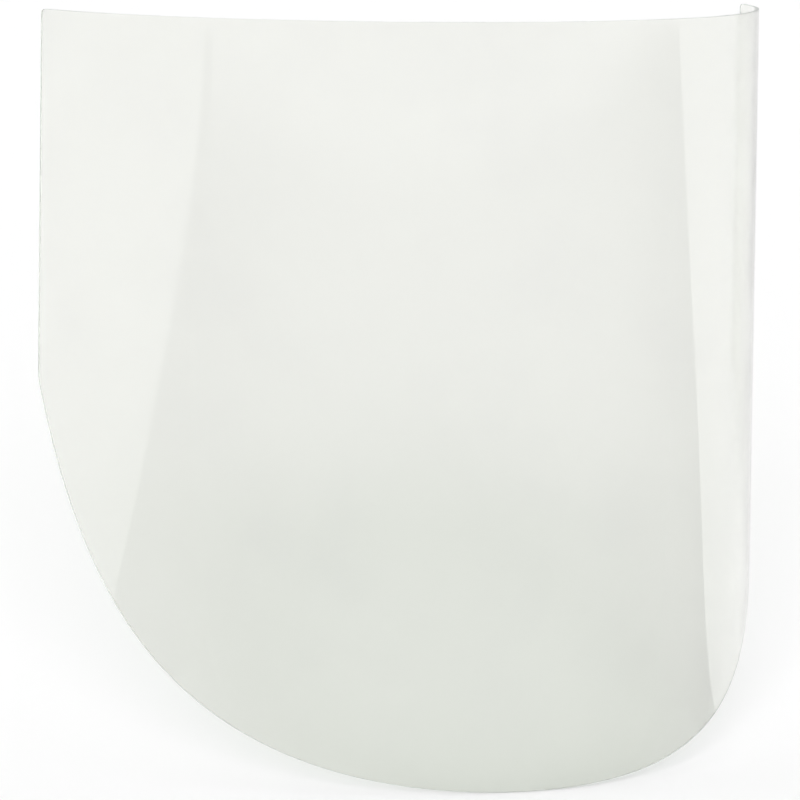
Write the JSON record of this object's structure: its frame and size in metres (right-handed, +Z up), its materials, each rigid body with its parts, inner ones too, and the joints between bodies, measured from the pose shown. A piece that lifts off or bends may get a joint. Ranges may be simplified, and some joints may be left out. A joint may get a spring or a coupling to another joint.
{
  "type": "face shield window",
  "caption": "Clear curved face shield window: one thin plastic sheet with a straight top edge and a rounded chin, bent round the face and gripped along its top edge by headgear.",
  "frame": {"origin": "middle of the top edge, halfway through the sheet", "axes": "+Z up as worn, square to the top edge; -Y the way the wearer looks; +X to the left hand of the wearer"},
  "size_m": [0.215, 0.0912, 0.21],
  "materials": {
    "clear_plastic": "polished"
  },
  "bodies": {
    "root": {"visor_window": "clear_plastic"}
  },
  "joints": []
}
